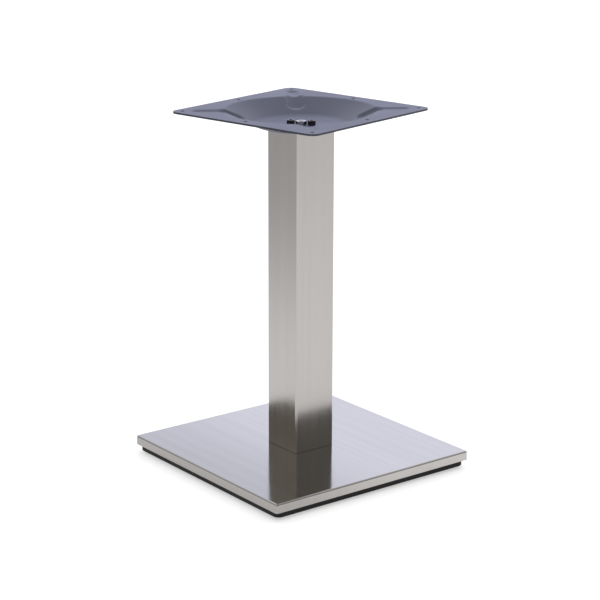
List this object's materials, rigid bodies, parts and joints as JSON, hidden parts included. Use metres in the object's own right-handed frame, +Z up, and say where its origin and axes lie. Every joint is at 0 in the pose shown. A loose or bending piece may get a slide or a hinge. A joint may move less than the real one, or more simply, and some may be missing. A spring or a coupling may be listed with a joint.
{
  "type": "square coffee table base",
  "caption": "Square pedestal table base: ribbed casting under a steel cover, square column, pressed top plate with screw holes, and levelling feet.",
  "frame": {"origin": "on the floor under the column's axis, at the centre of the base's footprint", "axes": "+Z up along the column's axis; X and Y square to the sides of the base, with the front facing -Y"},
  "size_m": [0.4, 0.4, 0.6],
  "materials": {
    "brushed_stainless": "brushed",
    "black_iron": "black painted casting",
    "plain_steel": "mill finish",
    "dark_powder_coat": "satin",
    "zinc_plate": "bright zinc plate",
    "black_oxide": "black oxide",
    "foot_plastic": "moulded"
  },
  "bodies": {
    "base": {"base_cover": "brushed_stainless", "ballast_plate": "black_iron", "column": "brushed_stainless", "column_foot_plate": "plain_steel", "column_head_plate": "plain_steel", "top_plate": "dark_powder_coat", "tie_rod": "zinc_plate", "lower_nut": "zinc_plate", "lower_washer": "zinc_plate", "upper_nut": "zinc_plate", "upper_washer": "zinc_plate", "cap_screw_left": "black_oxide", "cap_screw_right": "black_oxide"},
    "foot_front_left": {"foot_pad_front_left": "foot_plastic", "foot_stud_front_left": "zinc_plate"},
    "foot_front_right": {"foot_pad_front_right": "foot_plastic", "foot_stud_front_right": "zinc_plate"},
    "foot_back_right": {"foot_pad_back_right": "foot_plastic", "foot_stud_back_right": "zinc_plate"},
    "foot_back_left": {"foot_pad_back_left": "foot_plastic", "foot_stud_back_left": "zinc_plate"}
  },
  "joints": [
    {"name": "foot_front_left_height", "type": "slide", "parent": "base", "child": "foot_front_left", "axis": [0, 0, -1], "range_m": [0, 0.008]},
    {"name": "foot_front_right_height", "type": "slide", "parent": "base", "child": "foot_front_right", "axis": [0, 0, -1], "range_m": [0, 0.008]},
    {"name": "foot_back_right_height", "type": "slide", "parent": "base", "child": "foot_back_right", "axis": [0, 0, -1], "range_m": [0, 0.008]},
    {"name": "foot_back_left_height", "type": "slide", "parent": "base", "child": "foot_back_left", "axis": [0, 0, -1], "range_m": [0, 0.008]}
  ]
}
